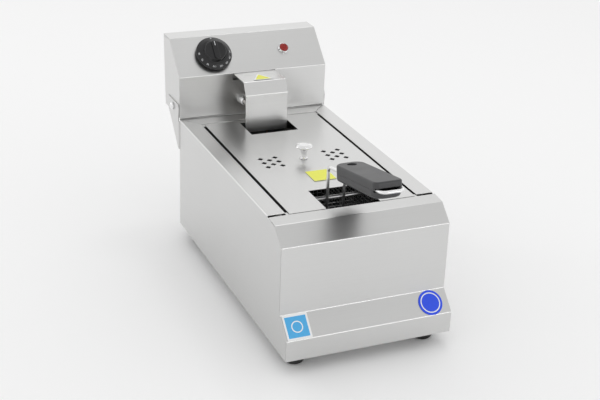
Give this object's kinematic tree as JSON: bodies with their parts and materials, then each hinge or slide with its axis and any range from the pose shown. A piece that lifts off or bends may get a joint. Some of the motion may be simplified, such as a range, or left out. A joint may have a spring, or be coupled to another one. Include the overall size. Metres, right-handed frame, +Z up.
{
  "type": "deep fryer",
  "caption": "Countertop electric deep fryer in folded stainless sheet, with a tilting control head, drop-in lid and long-handled wire basket.",
  "frame": {"origin": "on the worktop, at the middle of the whole fryer's footprint", "axes": "+Z up; -Y is the front, where the basket's grip reaches out; +X to the right of a person facing the front"},
  "size_m": [0.284, 0.635, 0.3466],
  "materials": {
    "satin_steel": "satin brushed stainless sheet",
    "tank_steel": "plain stainless sheet, darker inside",
    "polished_steel": "polished bright steel",
    "wire_steel": "bright drawn and plated wire",
    "element_steel": "heat-stained stainless tube",
    "dial_black": "gloss black moulded plastic with white marks",
    "grip_plastic": "matt dark grey heat-resistant plastic",
    "foot_rubber": "matt black rubber",
    "gland_rubber": "black nylon and rubber gland",
    "red_lens": "clear red moulded lens",
    "red_plastic": "red moulded button",
    "ceramic": "white steatite",
    "copper_tube": "drawn copper",
    "blue_label": "printed blue label, unlettered",
    "sky_label": "printed light blue label with a white border, unlettered",
    "yellow_label": "printed yellow label, unlettered"
  },
  "bodies": {
    "casing": {"front_panel": "satin_steel", "rear_panel": "satin_steel", "bottom_plate": "satin_steel", "oil_tank": "tank_steel", "left_side_panel": "satin_steel", "right_side_panel": "satin_steel", "front_left_foot": "foot_rubber", "front_left_foot_screw": "polished_steel", "front_right_foot": "foot_rubber", "front_right_foot_screw": "polished_steel", "rear_left_foot": "foot_rubber", "rear_left_foot_screw": "polished_steel", "rear_right_foot": "foot_rubber", "rear_right_foot_screw": "polished_steel", "left_hinge_bracket": "satin_steel", "right_hinge_bracket": "satin_steel", "left_bracket_lower_screw": "polished_steel", "left_bracket_upper_screw": "polished_steel", "right_bracket_lower_screw": "polished_steel", "right_bracket_upper_screw": "polished_steel", "left_pivot_screw": "polished_steel", "right_pivot_screw": "polished_steel", "left_pivot_nut": "polished_steel", "right_pivot_nut": "polished_steel", "round_label": "blue_label", "square_label": "sky_label"},
    "head": {"head_cover": "satin_steel", "head_back": "satin_steel", "left_head_side": "satin_steel", "right_head_side": "satin_steel", "element_hood": "satin_steel", "hood_label": "yellow_label", "heating_element": "element_steel", "left_element_nut": "polished_steel", "right_element_nut": "polished_steel", "guard_grid": "wire_steel", "sensing_bulb": "copper_tube", "thermostat_body": "ceramic", "lamp_bezel": "polished_steel", "lamp_lens": "red_lens", "lamp_body": "ceramic", "limit_thermostat": "ceramic", "terminal_block": "ceramic", "cable_gland": "gland_rubber"},
    "dial": {"control_dial": "dial_black", "thermostat_spindle": "polished_steel"},
    "basket": {"basket_mesh": "wire_steel", "basket_rim": "wire_steel", "handle_rod": "wire_steel", "grip_upper": "grip_plastic", "grip_lower": "grip_plastic", "grip_screw": "polished_steel"},
    "lid": {"lid_plate": "satin_steel", "lid_knob": "polished_steel", "lid_knob_screw": "polished_steel", "lid_label": "yellow_label"},
    "reset": {"reset_button": "red_plastic"}
  },
  "joints": [
    {"name": "head_tilt", "type": "hinge", "parent": "casing", "child": "head", "pos_m": [0, 0.24818, 0.233], "axis": [-1, 0, 0], "range_deg": [0, 85]},
    {"name": "dial_turn", "type": "hinge", "parent": "head", "child": "dial", "pos_m": [-0.0657, 0.24528, 0.31783], "axis": [0, 0.6828, -0.7306], "range_deg": [0, 270]},
    {"name": "basket_lift", "type": "slide", "parent": "head", "child": "basket", "axis": [0, 0, 1], "range_m": [0, 0.15]},
    {"name": "lid_lift", "type": "slide", "parent": "basket", "child": "lid", "axis": [0, 0, 1], "range_m": [0, 0.15]},
    {"name": "reset_press", "type": "slide", "parent": "head", "child": "reset", "axis": [0, -1, 0], "range_m": [0, 0.003], "stiffness_N_per_m": 300}
  ]
}
